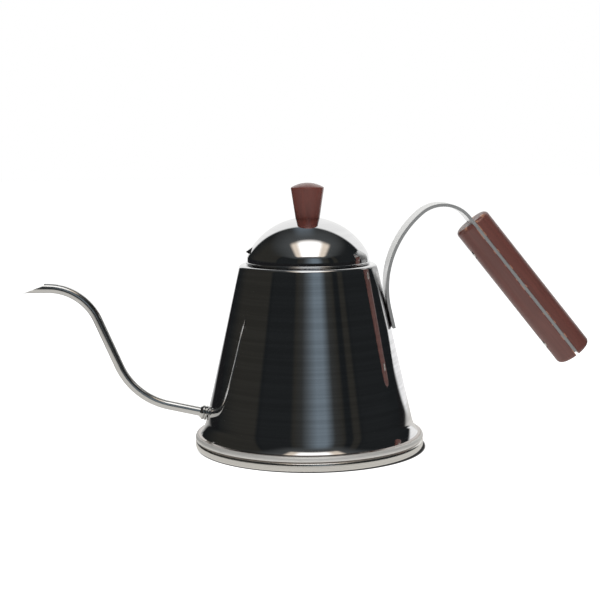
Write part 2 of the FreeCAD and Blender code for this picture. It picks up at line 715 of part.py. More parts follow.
bodies = [
    make_body_shell(),
    make_bottom_pan(),
    make_spout_tube(),
    make_spout_collar(),
    make_handle_strap(),
    make_grip_upper_half(),
    make_grip_lower_half(),
    make_grip_screws(),
    make_grip_inserts(),
    make_lid_dome(),
    make_lid_skirt(),
    make_lid_knob(),
    make_knob_insert(),
    make_knob_screw(),
    make_knob_washer(),
]
doc.recompute()

# Every object has to be sound before anything is written
for item in doc.Objects:
    if "Invalid" in item.State or "Error" in item.State:
        raise RuntimeError(item.Label + " failed: " + ", ".join(item.State))
os.makedirs("parts", exist_ok=True)
for body in bodies:
    if body.Shape.isNull() or not body.Shape.isValid():
        raise RuntimeError(body.Label + " has no valid shape")
    body.Shape.exportStep("parts/" + body.Label + ".step")
    print(body.Label, len(body.Shape.Solids), round(body.Shape.Volume, 1))
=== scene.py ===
import math
import bmesh
import bpy
from mathutils import Matrix, Vector


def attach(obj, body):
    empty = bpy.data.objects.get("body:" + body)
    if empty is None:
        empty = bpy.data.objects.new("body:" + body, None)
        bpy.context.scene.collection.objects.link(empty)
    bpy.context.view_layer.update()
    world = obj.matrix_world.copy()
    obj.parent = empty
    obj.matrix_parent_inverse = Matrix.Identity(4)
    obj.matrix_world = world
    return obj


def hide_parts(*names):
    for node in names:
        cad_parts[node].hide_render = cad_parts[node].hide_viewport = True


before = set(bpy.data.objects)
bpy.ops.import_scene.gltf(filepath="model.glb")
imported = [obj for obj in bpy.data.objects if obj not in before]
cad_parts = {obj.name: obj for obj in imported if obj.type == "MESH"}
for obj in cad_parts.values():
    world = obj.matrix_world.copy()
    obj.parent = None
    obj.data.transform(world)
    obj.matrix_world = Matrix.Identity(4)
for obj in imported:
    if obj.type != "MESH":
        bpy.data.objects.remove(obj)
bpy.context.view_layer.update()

bl_info = {
    "name": "Gooseneck Kettle",
    "version": (1, 0, 0),
    "blender": (4, 5, 0),
    "location": "View3D > Sidebar > Kettle",
    "description": "Finishes a pour-over kettle: polished steel, stained wood and a white studio",
    "category": "Object",
}

# The grip's axis leans this far from straight up towards the handle side, and starts here
GRIP_HEADING = math.radians(141.5)
GRIP_TOP = Vector((0.105132, 0.0, 0.144909))

# Heights of the crease above the upper bead and of the seam between the two beads
CREASE = 0.0096
SEAM = 0.0060

# The concave round of the foot's flare: its hub as reach and height, its radius,
# and how near to the round a corner has to be to lie on it
FLARE_HUB = Vector((0.0875562, 0.0224806))
FLARE_RADIUS = 0.0211265
FLARE_FIT = 2e-6

# Half width of the film in a seam, full and faded, and how much it covers
FILM_WIDTHS = (0.00012, 0.00045)
FILM_COVER = 0.65

# Satin takes over from the polish within this height below the crease
HEM_BLEND = 0.0002

# The strap's cut edge starts and is full this far inside its half width
CUT_START = 0.00010
CUT_FULL = 0.00004

# Chips on the grip: how far they reach from the strap's middle plane and from the top end,
# how much the end has of them, and the noise levels between which they appear
CHIP_BESIDE = (0.00115, 0.00165)
CHIP_END = (0.0004, 0.0022)
CHIP_END_SHARE = 0.85
CHIP_LEVELS = (0.53, 0.60)

# Steel: noise levels of the wiped smudges and the dull streaks, weight of the lines against the smudges,
# least roughness, and depth of the lines
WIPE_LEVELS = (0.35, 0.70)
STREAK_LEVELS = (0.36, 0.64)
LINE_WEIGHT = 1.6
LEAST_ROUGHNESS = 0.02
LINE_DEPTH = 0.00002

# Wood: noise levels of the grain and the pores, how much finer the pores are, their shade and sink,
# roughness in and between the grain lines, and strength and depth of the grain
GRAIN_LEVELS = (0.36, 0.66)
PORE_LEVELS = (0.60, 0.72)
PORE_FINENESS = 5.0
PORE_SHADE = 0.45
PORE_SINK = -0.7
WOOD_ROUGHNESS = (0.44, 0.34)
GRAIN_STRENGTH = 0.10
GRAIN_DEPTH = 0.0001

# Mesh clean-up: corners this close are one, edges this short go, sharper folds stay crisp,
# and corners this close in height are level
WELD = 2e-6
SLIVER = 1e-7
SHARP_FOLD = math.radians(32)
LEVEL = 1e-5

# Corners within a fiftieth of a millimetre and this turn of each other belong to one ring,
# which is evened where it has at least this many
RING_STEPS = 50000
RING_SPREAD = math.radians(12)
RING_LEAST = 24

# The dome's lip: the height it lies within, its depth from the edge, and how far in it is tucked
LIP_HEIGHT = 0.003
LIP_DEPTH = 1e-4
LIP_TUCK = 0.2

# Screws: inputs of their tree, the head's top, its cross and its rim as shares of the head radius,
# and the least fold that stays crisp
SCREW_SIZES = ("Head radius", "Head depth", "Shank radius", "Shank length", "Spacing")
HEAD_TAPER = 0.86
CROSS_LENGTH = 1.15
CROSS_WIDTH = 0.26
RIM_SHARE = 0.98
SCREW_FOLD = math.radians(25)

# Tones of the dim room that the steel mirrors
BLACK = (0.0120, 0.0138, 0.0150)
BROWN = (0.0290, 0.0280, 0.0245)
SLATE = (0.0155, 0.0172, 0.0182)
WINDOW = (0.165, 0.205, 0.240)
WINDOW_EDGE = (0.085, 0.098, 0.108)
CURTAIN = (0.038, 0.040, 0.040)
CEILING = (0.036, 0.038, 0.038)
SHEEN = (0.15, 0.18, 0.21)
SWEEP = (0.98, 0.98, 0.97)

# The room's tall panels: bearing in degrees from straight in front, and tone
ROOM_PANELS = (
    (-150, BLACK), (-118, BROWN), (-66, BROWN), (-62, BLACK), (-58, SLATE), (-24, SLATE),
    (-20, BROWN), (-11, CURTAIN), (-4, WINDOW_EDGE), (7, WINDOW), (16, WINDOW), (26, CURTAIN),
    (36, BROWN), (39, BLACK), (45, BLACK), (48, BROWN), (54, BROWN), (57, BLACK), (61, SLATE),
    (100, SLATE), (130, BLACK),
)

# Where the room's parts fade in or out, as the upward part of a direction
PANEL_FOOT = (-0.05, 0.12)
PANEL_HEAD = (0.62, 0.80)
CEILING_FADE = (0.0, 0.5)
SHEEN_FADE = (0.70, 0.85)

# Spots on the ceiling have a middle, a full and a faded half width, as multiples of its height,
# and a direction that rises less than this counts as rising this much
SHEEN_ACROSS = (-0.05, 0.04, 0.26)
LEAST_RISE = 0.05

# Each lamp: its tone, then its spot across and from the kettle towards the camera
LAMPS = (
    ((0.075, 0.080, 0.082), (0.05, 0.40, 1.10), (0.50, 0.40, 1.20)),
    ((0.85, 0.74, 0.62), (0.06, 0.42, 0.54), (0.46, 0.28, 0.45)),
    ((1.6, 1.6, 1.6), (0.04, 0.20, 0.36), (0.46, 0.25, 0.45)),
)

# The white sweep behind the kettle: its turn to the handle side, its lean and its edge
SWEEP_TURN = 0.18
SWEEP_LEAN = 0.42
SWEEP_EDGE = (0.84, 0.90)

# The floor: paint, glow, and a painted contact shadow, a dark line under the base, with its middle and its
# edge
FLOOR_PAINT = 0.9
FLOOR_GLOW = 0.74
CONTACT_SHADOW = (0.03, 0.03, 0.03)
CONTACT_MIDDLE = (0.0013, -0.0007)
CONTACT_EDGE = (0.0735, 0.0750)

# The floor as the steel mirrors it: tones, then where each begins and ends
FLOOR_NEAR = (0.70, 0.685, 0.655)
FLOOR_FAR = (0.012, 0.012, 0.013)
FLOOR_BEHIND = (0.96, 0.96, 0.96)
NEAR_REACH = (0.22, 0.50)
BEHIND_TURN = 0.12
BEHIND_SHARE = (0.70, 0.78)
BEHIND_DEPTH = (0.12, 0.25)
SPOUT_SIDE_TURN = 0.30
SPOUT_SIDE_REACH = (0.00, 0.15)
SPOUT_SIDE_DEPTH = (0.02, 0.20)

# The softbox: width and length, place, and the spot that it points at
SOFTBOX_SIZE = (1.0, 0.68)
SOFTBOX_PLACE = Vector((0.06, -0.55, 1.15))
SOFTBOX_AIM = Vector((0.0, 0.0, 0.12))


class KettleFinish(bpy.types.PropertyGroup):
    """Colours and surface sizes of the kettle."""

    steel: bpy.props.FloatVectorProperty(
        name="Polished steel", description="Reflected colour of the polished sheet",
        subtype="COLOR", size=3, min=0, max=1, default=(0.80, 0.80, 0.81))
    satin: bpy.props.FloatVectorProperty(
        name="Satin steel", description="Reflected colour of the bottom pan and the screws",
        subtype="COLOR", size=3, min=0, max=1, default=(0.78, 0.765, 0.735))
    spout: bpy.props.FloatVectorProperty(
        name="Spout steel", description="Reflected colour of the gooseneck and its collar",
        subtype="COLOR", size=3, min=0, max=1, default=(0.70, 0.695, 0.68))
    bead: bpy.props.FloatVectorProperty(
        name="Bead steel", description="Reflected colour of the bead below the body's crease",
        subtype="COLOR", size=3, min=0, max=1, default=(0.62, 0.61, 0.585))
    stain_light: bpy.props.FloatVectorProperty(
        name="Light grip stain", description="The grip's colour between the grain lines",
        subtype="COLOR", size=3, min=0, max=1, default=(0.133, 0.046, 0.037))
    stain_dark: bpy.props.FloatVectorProperty(
        name="Dark grip stain", description="The grip's colour in the grain lines",
        subtype="COLOR", size=3, min=0, max=1, default=(0.114, 0.0395, 0.0315))
    knob_light: bpy.props.FloatVectorProperty(
        name="Light knob stain", description="The knob's colour between the grain lines",
        subtype="COLOR", size=3, min=0, max=1, default=(0.153, 0.040, 0.029))
    knob_dark: bpy.props.FloatVectorProperty(
        name="Dark knob stain", description="The knob's colour in the grain lines",
        subtype="COLOR", size=3, min=0, max=1, default=(0.132, 0.035, 0.026))
    bare_wood: bpy.props.FloatVectorProperty(
        name="Bare wood", description="Wood colour where an edge has chipped",
        subtype="COLOR", size=3, min=0, max=1, default=(0.42, 0.20, 0.12))
    strap: bpy.props.FloatVectorProperty(
        name="Strap steel", description="Reflected colour of the handle strap's broad faces",
        subtype="COLOR", size=3, min=0, max=1, default=(0.90, 0.90, 0.89))
    sheared: bpy.props.FloatVectorProperty(
        name="Sheared edge", description="Colour of the strap's cut edges",
        subtype="COLOR", size=3, min=0, max=1, default=(0.30, 0.305, 0.305))
    grime: bpy.props.FloatVectorProperty(
        name="Grime", description="Colour of the film that gathers in seams",
        subtype="COLOR", size=3, min=0, max=1, default=(0.26, 0.20, 0.16))
    brass: bpy.props.FloatVectorProperty(
        name="Brass", description="Reflected colour of the threaded inserts",
        subtype="COLOR", size=3, min=0, max=1, default=(0.70, 0.50, 0.22))
    polish: bpy.props.FloatProperty(
        name="Polish roughness", description="Roughness of the polished sheet",
        min=0, max=1, default=0.05)


class StudioView(bpy.types.PropertyGroup):
    """Where the camera stands and how the studio is lit."""

    azimuth: bpy.props.FloatProperty(
        name="Azimuth", description="Camera's turn about the kettle, negative towards the spout",
        subtype="ANGLE", default=math.radians(-2.5))
    distance: bpy.props.FloatProperty(
        name="Distance", description="From the kettle's axis to the camera",
        unit="LENGTH", default=0.834)
    height: bpy.props.FloatProperty(
        name="Height", description="Of the camera above the floor", unit="LENGTH", default=0.197)
    pitch: bpy.props.FloatProperty(
        name="Pitch", description="How far the camera looks down", subtype="ANGLE", default=0.1214)
    yaw: bpy.props.FloatProperty(
        name="Yaw", description="How far the camera looks past the axis to the left",
        subtype="ANGLE", default=0.0064)
    roll: bpy.props.FloatProperty(
        name="Roll", description="Camera's turn about its own view", subtype="ANGLE", default=-0.0089)
    lens: bpy.props.FloatProperty(
        name="Lens", description="Focal length on a 36 mm sensor", default=78.0)
    floor: bpy.props.FloatProperty(
        name="Floor", description="Side of the floor", unit="LENGTH", default=12.0)
    softbox: bpy.props.FloatProperty(
        name="Softbox", description="Power of the lamp above the front", unit="POWER", default=8.5)
    ambient: bpy.props.FloatProperty(
        name="Ambient", description="Even light from all round", min=0, default=0.36)


# Node trees

def link(tree, source, target):
    """Join an output socket to an input socket."""
    tree.links.new(source, target)


def node(tree, kind, **values):
    """Add a node; a value sets the property or the input of that name."""
    made = tree.nodes.new(kind)
    for name, value in values.items():
        if hasattr(made, name):
            setattr(made, name, value)
        else:
            made.inputs[name.replace("_", " ")].default_value = value
    return made


def maths(tree, operation, first, second=None, third=None):
    """A Math node on sockets or plain numbers; gives its output."""
    made = tree.nodes.new("ShaderNodeMath")
    made.operation = operation
    for index, value in enumerate((first, second, third)):
        if value is None:
            continue
        if isinstance(value, (int, float)):
            made.inputs[index].default_value = value
        else:
            link(tree, value, made.inputs[index])
    return made.outputs[0]


def smooth_range(tree, value, low, high, start=0.0, stop=1.0, easing="SMOOTHSTEP"):
    """Ease a value from start to stop as it goes from low to high."""
    made = tree.nodes.new("ShaderNodeMapRange")
    made.interpolation_type = easing
    link(tree, value, made.inputs["Value"])
    for name, number in (("From Min", low), ("From Max", high), ("To Min", start), ("To Max", stop)):
        made.inputs[name].default_value = number
    return made.outputs["Result"]


def band(tree, value, centre, inner, outer):
    """One within inner of centre, fading to nothing at outer."""
    away = maths(tree, "ABSOLUTE", maths(tree, "SUBTRACT", value, centre))
    return smooth_range(tree, away, inner, outer, 1.0, 0.0)


def blend_colours(tree, factor, first, second):
    """Mix two colours, each a socket or three numbers, by a factor socket."""
    made = tree.nodes.new("ShaderNodeMix")
    made.data_type = "RGBA"
    link(tree, factor, made.inputs["Factor"])
    for name, colour in (("A", first), ("B", second)):
        socket = next(s for s in made.inputs if s.name == name and s.type == "RGBA")
        if hasattr(colour, "links"):
            link(tree, colour, socket)
        else:
            socket.default_value = (*colour, 1.0)
    return next(s for s in made.outputs if s.type == "RGBA")


def fill_ramp(ramp, stops):
    """Set a colour ramp's stops from bearings in degrees and colours."""
    while len(ramp.elements) > 1:
        ramp.elements.remove(ramp.elements[-1])
    for index, (bearing, colour) in enumerate(stops):
        place = bearing / 360 + 0.5
        element = ramp.elements[0] if index == 0 else ramp.elements.new(place)
        element.position = place
        element.color = (*colour, 1.0)


def new_group(name, inputs, outputs):
    """A shader node group with named float or vector sockets."""
    tree = bpy.data.node_groups.new(name, "ShaderNodeTree")
    for label, kind, default in inputs:
        socket = tree.interface.new_socket(label, in_out="INPUT", socket_type=kind)
        if default is not None:
            socket.default_value = default
    for label, kind in outputs:
        tree.interface.new_socket(label, in_out="OUTPUT", socket_type=kind)
    return tree, tree.nodes.new("NodeGroupInput"), tree.nodes.new("NodeGroupOutput")


def hairline_group():
    """Fine polishing lines round Z: gives a roughness, a height and a dullness."""
    tree, source, sink = new_group(
        "Polishing lines",
        [("Vector", "NodeSocketVector", None), ("Lines", "NodeSocketFloat", 900.0),
         ("Roughness", "NodeSocketFloat", 0.05), ("Spread", "NodeSocketFloat", 0.03)],
        [("Roughness", "NodeSocketFloat"), ("Height", "NodeSocketFloat"), ("Dullness", "NodeSocketFloat")])
    stretch = node(tree, "ShaderNodeCombineXYZ", X=6.0, Y=6.0)
    link(tree, source.outputs["Lines"], stretch.inputs["Z"])
    spread = node(tree, "ShaderNodeVectorMath", operation="MULTIPLY")
    link(tree, source.outputs["Vector"], spread.inputs[0])
    link(tree, stretch.outputs[0], spread.inputs[1])
    lines = node(tree, "ShaderNodeTexNoise", Scale=1.0, Detail=3.0, Roughness=0.6)
    link(tree, spread.outputs[0], lines.inputs["Vector"])
    clouds = node(tree, "ShaderNodeTexNoise", Scale=26.0, Detail=4.0)
    link(tree, source.outputs["Vector"], clouds.inputs["Vector"])
    wiped = smooth_range(tree, clouds.outputs["Fac"], *WIPE_LEVELS)
    centred = maths(tree, "SUBTRACT", lines.outputs["Fac"], 0.5)
    marks = maths(tree, "MULTIPLY_ADD", centred, LINE_WEIGHT, wiped)
    rough = maths(tree, "MULTIPLY_ADD", marks, source.outputs["Spread"], source.outputs["Roughness"])
    link(tree, maths(tree, "MAXIMUM", rough, LEAST_ROUGHNESS), sink.inputs["Roughness"])
    link(tree, lines.outputs["Fac"], sink.inputs["Height"])
    link(tree, smooth_range(tree, lines.outputs["Fac"], *STREAK_LEVELS), sink.inputs["Dullness"])
    return tree


def grain_group():
    """Long wood grain along X: gives a grain mask, pores and a height."""
    tree, source, sink = new_group(
        "Wood grain",
        [("Vector", "NodeSocketVector", None), ("Grain", "NodeSocketFloat", 420.0)],
        [("Grain", "NodeSocketFloat"), ("Pores", "NodeSocketFloat"), ("Height", "NodeSocketFloat")])
    stretch = node(tree, "ShaderNodeVectorMath", operation="MULTIPLY")
    stretch.inputs[1].default_value = (0.06, 1.0, 1.0)
    link(tree, source.outputs["Vector"], stretch.inputs[0])
    bands = node(tree, "ShaderNodeTexNoise", Detail=5.0, Roughness=0.62, Distortion=0.6)
    link(tree, stretch.outputs[0], bands.inputs["Vector"])
    link(tree, source.outputs["Grain"], bands.inputs["Scale"])
    pores = node(tree, "ShaderNodeTexNoise", Detail=2.0)
    link(tree, stretch.outputs[0], pores.inputs["Vector"])
    link(tree, maths(tree, "MULTIPLY", source.outputs["Grain"], PORE_FINENESS), pores.inputs["Scale"])
    mask = smooth_range(tree, bands.outputs["Fac"], *GRAIN_LEVELS)
    holes = smooth_range(tree, pores.outputs["Fac"], *PORE_LEVELS)
    link(tree, mask, sink.inputs["Grain"])
    link(tree, holes, sink.inputs["Pores"])
    link(tree, maths(tree, "MULTIPLY_ADD", holes, PORE_SINK, mask), sink.inputs["Height"])
    return tree


def new_material(name):
    """A material with its Principled shader wired to the output."""
    material = bpy.data.materials.new(name)
    material.use_nodes = True
    tree = material.node_tree
    return material, tree, tree.nodes["Principled BSDF"]


def placed_coordinates(tree, location=(0, 0, 0), rotation=(0, 0, 0)):
    """Object coordinates turned and moved by a Mapping node."""
    source = node(tree, "ShaderNodeTexCoord")
    mapping = node(tree, "ShaderNodeMapping", vector_type="TEXTURE")
    mapping.inputs["Location"].default_value = location
    mapping.inputs["Rotation"].default_value = rotation
    link(tree, source.outputs["Object"], mapping.inputs["Vector"])
    return mapping.outputs["Vector"]


def object_axes(tree):
    """The outputs X, Y and Z of the piece's own coordinates."""
    split = node(tree, "ShaderNodeSeparateXYZ")
    link(tree, node(tree, "ShaderNodeTexCoord").outputs["Object"], split.inputs[0])
    return split.outputs


def add_bump(tree, shader, height, strength, distance):
    """Lift the surface's shading by a height socket."""
    bump = node(tree, "ShaderNodeBump", Strength=strength, Distance=distance)
    link(tree, height, bump.inputs["Height"])
    link(tree, bump.outputs["Normal"], shader.inputs["Normal"])


def steel_material(name, colour, roughness, spread, lines, bump, rotation=(0, 0, 0), streak=0.14):
    """Stainless sheet with polishing lines, wiped smudges and duller streaks."""
    material, tree, shader = new_material(name)
    shader.inputs["Metallic"].default_value = 1.0
    group = node(tree, "ShaderNodeGroup", node_tree=bpy.data.node_groups["Polishing lines"])
    group.inputs["Lines"].default_value = lines
    group.inputs["Roughness"].default_value = roughness
    group.inputs["Spread"].default_value = spread
    link(tree, placed_coordinates(tree, rotation=rotation), group.inputs["Vector"])
    link(tree, group.outputs["Roughness"], shader.inputs["Roughness"])
    dull = [channel * (1 - streak) for channel in colour]
    link(tree, blend_colours(tree, group.outputs["Dullness"], colour, dull), shader.inputs["Base Color"])
    add_bump(tree, shader, group.outputs["Height"], bump, LINE_DEPTH)
    return material


def repaint(material, mask, colour, **values):
    """Where a mask is one, change a material's colour, and the named inputs to new values."""
    tree = material.node_tree
    shader = tree.nodes["Principled BSDF"]
    under = shader.inputs["Base Color"].links[0].from_socket
    link(tree, blend_colours(tree, mask, under, colour), shader.inputs["Base Color"])
    for name, value in values.items():
        socket = shader.inputs[name]
        was = socket.links[0].from_socket if socket.is_linked else socket.default_value
        change = maths(tree, "SUBTRACT", value, was)
        link(tree, maths(tree, "MULTIPLY_ADD", change, mask, was), socket)


def add_grime(material, heights, colour):
    """A brown film in the seams that run round the base at the given heights."""
    tree = material.node_tree
    up = object_axes(tree)["Z"]
    for height in heights:
        film = maths(tree, "MULTIPLY", band(tree, up, height, *FILM_WIDTHS), FILM_COVER)
        repaint(material, film, colour)


def satin_hem(material, colour):
    """The rolled bead below the crease is satin."""
    tree = material.node_tree
    bead = smooth_range(tree, object_axes(tree)["Z"], CREASE - HEM_BLEND, CREASE, 1.0, 0.0)
    repaint(material, bead, colour, Roughness=0.40, Metallic=0.45)


def shear_edges(material, half_width, colour):
    """The strap's two cut edges are duller than its broad faces."""
    tree = material.node_tree
    away = maths(tree, "ABSOLUTE", object_axes(tree)["Y"])
    cut = smooth_range(tree, away, half_width - CUT_START, half_width - CUT_FULL)
    repaint(material, cut, colour, Metallic=0.35, Roughness=0.46)


def wood_material(name, light, dark, location, rotation, coat, bare=None):
    """Stained wood with its grain along the piece; with a bare colour, chips show beside the strap."""
    material, tree, shader = new_material(name)
    vector = placed_coordinates(tree, location, rotation)
    group = node(tree, "ShaderNodeGroup", node_tree=bpy.data.node_groups["Wood grain"])
    link(tree, vector, group.inputs["Vector"])
    colour = blend_colours(tree, group.outputs["Grain"], dark, light)
    dim = maths(tree, "MULTIPLY", group.outputs["Pores"], PORE_SHADE)
    colour = blend_colours(tree, dim, colour, dark)
    if bare:
        colour = blend_colours(tree, chip_mask(tree, vector), colour, bare)
    link(tree, colour, shader.inputs["Base Color"])
    rough = smooth_range(tree, group.outputs["Grain"], 0.0, 1.0, *WOOD_ROUGHNESS)
    link(tree, rough, shader.inputs["Roughness"])
    shader.inputs["Coat Weight"].default_value = coat
    shader.inputs["Coat Roughness"].default_value = 0.2
    add_bump(tree, shader, group.outputs["Height"], GRAIN_STRENGTH, GRAIN_DEPTH)
    return material


def chip_mask(tree, vector):
    """Small chips along the grip's top edge and the edges that face the strap."""
    split = node(tree, "ShaderNodeSeparateXYZ")
    link(tree, vector, split.inputs[0])
    away = maths(tree, "ABSOLUTE", split.outputs["Z"])
    beside = smooth_range(tree, away, *CHIP_BESIDE, 1.0, 0.0)
    at_end = smooth_range(tree, split.outputs["X"], *CHIP_END, CHIP_END_SHARE, 0.0)
    near = maths(tree, "MAXIMUM", beside, at_end)
    patch = node(tree, "ShaderNodeTexNoise", Scale=210.0, Detail=4.0)
    link(tree, vector, patch.inputs["Vector"])
    flecks = smooth_range(tree, patch.outputs["Fac"], *CHIP_LEVELS)
    return maths(tree, "MULTIPLY", near, flecks)


# Mesh helpers

def smooth_copy(name, reshape=None):
    """A welded copy of a CAD node, changed by reshape, with its curved faces shaded smooth."""
    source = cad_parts[name]
    mesh = source.data.copy()
    welded = bmesh.new()
    welded.from_mesh(mesh)
    bmesh.ops.remove_doubles(welded, verts=welded.verts, dist=WELD)
    bmesh.ops.dissolve_degenerate(welded, edges=welded.edges, dist=SLIVER)
    if reshape:
        reshape(welded)
    for face in welded.faces:
        face.smooth = True
    for edge in welded.edges:
        edge.smooth = not (len(edge.link_faces) == 2 and edge.calc_face_angle(0) > SHARP_FOLD)
    welded.to_mesh(mesh)
    welded.free()
    mesh.materials.clear()
    draft = bpy.data.objects.new(name + "_draft", mesh)
    bpy.context.scene.collection.objects.link(draft)
    draft.matrix_world = source.matrix_world.copy()
    weighted = draft.modifiers.new("Weighted normals", "WEIGHTED_NORMAL")
    weighted.mode = "FACE_AREA"
    weighted.weight = 80
    weighted.keep_sharp = True
    return finished(draft, name)


def finished(draft, name):
    """Apply a draft's modifiers and place into a new object at the origin."""
    graph = bpy.context.evaluated_depsgraph_get()
    graph.update()
    mesh = bpy.data.meshes.new_from_object(draft.evaluated_get(graph), depsgraph=graph)
    mesh.transform(draft.matrix_world)
    piece = bpy.data.objects.new(name + "_finish", mesh)
    bpy.context.scene.collection.objects.link(piece)
    bpy.data.objects.remove(draft)
    return piece


def leaning(place, lean):
    """The normal at a place, from its outward and its upward part."""
    return Vector((*(place.xy.normalized() * lean.x), lean.y))


def gather_rings(places, normals):
    """Lists of corners, as index and lean, that share a ring about the kettle's axis and a face's lean."""
    rings = {}
    for index, (place, normal) in enumerate(zip(places, normals)):
        lean = Vector((normal.xy.dot(place.xy.normalized()), normal.z))
        spot = (round(place.xy.length * RING_STEPS), round(place.z * RING_STEPS))
        ring = rings.setdefault(spot, [])
        for members in ring:
            if members[0][1].angle(lean, math.pi) < RING_SPREAD:
                members.append((index, lean))
                break
        else:
            ring.append([(index, lean)])
    return [members for ring in rings.values() for members in ring]


def even_rings(mesh):
    """Give each ring's corners one lean, and the flare's their true one, so that highlights run clean."""
    normals = [Vector(corner.vector) for corner in mesh.corner_normals]
    places = [mesh.vertices[loop.vertex_index].co for loop in mesh.loops]
    for members in gather_rings(places, normals):
        if len(members) < RING_LEAST:
            continue
        mean = sum((lean for index, lean in members), Vector((0, 0))).normalized()
        for index, lean in members:
            normals[index] = leaning(places[index], mean)
    for index, place in enumerate(places):
        inward = FLARE_HUB - Vector((place.xy.length, place.z))
        if abs(inward.length - FLARE_RADIUS) < FLARE_FIT:
            normals[index] = leaning(place, inward.normalized())
    mesh.normals_split_custom_set(normals)


def dress(name, body, material, reshape=None, round_piece=False):
    """Stand a smooth copy of a CAD node in its place, with its material."""
    piece = smooth_copy(name, reshape)
    if round_piece:
        even_rings(piece.data)
    piece.data.materials.clear()
    piece.data.materials.append(material)
    stand_in(piece, name, body)


def stand_in(piece, name, body):
    """Show a finished piece in place of a CAD node."""
    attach(piece, body)
    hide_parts(name)


def roll_lip(dome):
    """Turn the square lip round the dome's foot into a rolled one of the same size."""
    foot = min(vertex.co.z for vertex in dome.verts)
    reach = max(vertex.co.xy.length for vertex in dome.verts if vertex.co.z < foot + LEVEL)
    low = [vertex for vertex in dome.verts if vertex.co.z < foot + LIP_HEIGHT]
    lip = [vertex for vertex in low if vertex.co.xy.length > reach - LIP_DEPTH]
    radius = (max(vertex.co.z for vertex in lip) - foot) / 2
    centre = reach - radius
    for vertex in lip:
        vertex.co.xy *= (centre + LIP_TUCK * radius) / vertex.co.xy.length
    add_ring(dome, centre, foot + radius, radius)


def add_ring(mesh, reach, height, radius, around=160, across=14):
    """A round ring about the kettle's axis."""
    rows = []
    for step in range(around):
        bearing = math.tau * step / around
        row = []
        for part in range(across):
            tilt = math.tau * part / across
            out = reach + radius * math.cos(tilt)
            spot = (out * math.cos(bearing), out * math.sin(bearing), height + radius * math.sin(tilt))
            row.append(mesh.verts.new(spot))
        rows.append(row)
    faces = []
    for step in range(around):
        here, there = rows[step], rows[(step + 1) % around]
        for part in range(across):
            last = (part + 1) % across
            faces.append(mesh.faces.new((here[part], there[part], there[last], here[last])))
    bmesh.ops.recalc_face_normals(mesh, faces=faces)


# Screws

def screw_tree(material):
    """Geometry Nodes that make a row of cross-head screws, heads up, the first at the origin."""
    tree = bpy.data.node_groups.new("Cross-head screws", "GeometryNodeTree")
    for label in SCREW_SIZES:
        tree.interface.new_socket(label, in_out="INPUT", socket_type="NodeSocketFloat")
    tree.interface.new_socket("Count", in_out="INPUT", socket_type="NodeSocketInt")
    tree.interface.new_socket("Screws", in_out="OUTPUT", socket_type="NodeSocketGeometry")
    size = tree.nodes.new("NodeGroupInput").outputs
    radius, depth = size["Head radius"], size["Head depth"]

    def lifted(geometry, height):
        moved = node(tree, "GeometryNodeTransform")
        link(tree, geometry, moved.inputs["Geometry"])
        link(tree, along(tree, "Z", height), moved.inputs["Translation"])
        return moved.outputs["Geometry"]

    head = node(tree, "GeometryNodeMeshCone", Vertices=48)
    link(tree, radius, head.inputs["Radius Bottom"])
    link(tree, maths(tree, "MULTIPLY", radius, HEAD_TAPER), head.inputs["Radius Top"])
    link(tree, depth, head.inputs["Depth"])
    slots = node(tree, "GeometryNodeJoinGeometry")
    for long_axis, short_axis in (("X", "Y"), ("Y", "X")):
        bar = node(tree, "GeometryNodeMeshCube")
        sides = node(tree, "ShaderNodeCombineXYZ")
        link(tree, maths(tree, "MULTIPLY", radius, CROSS_LENGTH), sides.inputs[long_axis])
        link(tree, maths(tree, "MULTIPLY", radius, CROSS_WIDTH), sides.inputs[short_axis])
        link(tree, depth, sides.inputs["Z"])
        link(tree, sides.outputs[0], bar.inputs["Size"])
        link(tree, lifted(bar.outputs["Mesh"], depth), slots.inputs["Geometry"])
    cut = node(tree, "GeometryNodeMeshBoolean", operation="DIFFERENCE")
    link(tree, lifted(head.outputs["Mesh"], 0.0), cut.inputs["Mesh 1"])
    link(tree, slots.outputs["Geometry"], cut.inputs["Mesh 2"])
    shank = node(tree, "GeometryNodeMeshCylinder", Vertices=32)
    link(tree, size["Shank radius"], shank.inputs["Radius"])
    link(tree, size["Shank length"], shank.inputs["Depth"])
    whole = node(tree, "GeometryNodeJoinGeometry")
    raised = maths(tree, "MULTIPLY", depth, 0.5)
    sunk = maths(tree, "MULTIPLY", size["Shank length"], -0.5)
    link(tree, lifted(cut.outputs["Mesh"], raised), whole.inputs["Geometry"])
    link(tree, lifted(shank.outputs["Mesh"], sunk), whole.inputs["Geometry"])
    row = node(tree, "GeometryNodeMeshLine")
    link(tree, size["Count"], row.inputs["Count"])
    link(tree, along(tree, "X", size["Spacing"]), row.inputs["Offset"])
    placed = node(tree, "GeometryNodeInstanceOnPoints")
    link(tree, row.outputs["Mesh"], placed.inputs["Points"])
    link(tree, whole.outputs["Geometry"], placed.inputs["Instance"])
    real = node(tree, "GeometryNodeRealizeInstances")
    link(tree, placed.outputs["Instances"], real.inputs["Geometry"])
    coloured = node(tree, "GeometryNodeSetMaterial", Material=material)
    link(tree, real.outputs["Geometry"], coloured.inputs["Geometry"])
    link(tree, coloured.outputs["Geometry"], tree.nodes.new("NodeGroupOutput").inputs["Screws"])


def along(tree, axis, length):
    """A vector of a length, a socket or a plain number, along one axis."""
    made = node(tree, "ShaderNodeCombineXYZ")
    if isinstance(length, float):
        made.inputs[axis].default_value = length
    else:
        link(tree, length, made.inputs[axis])
    return made.outputs[0]


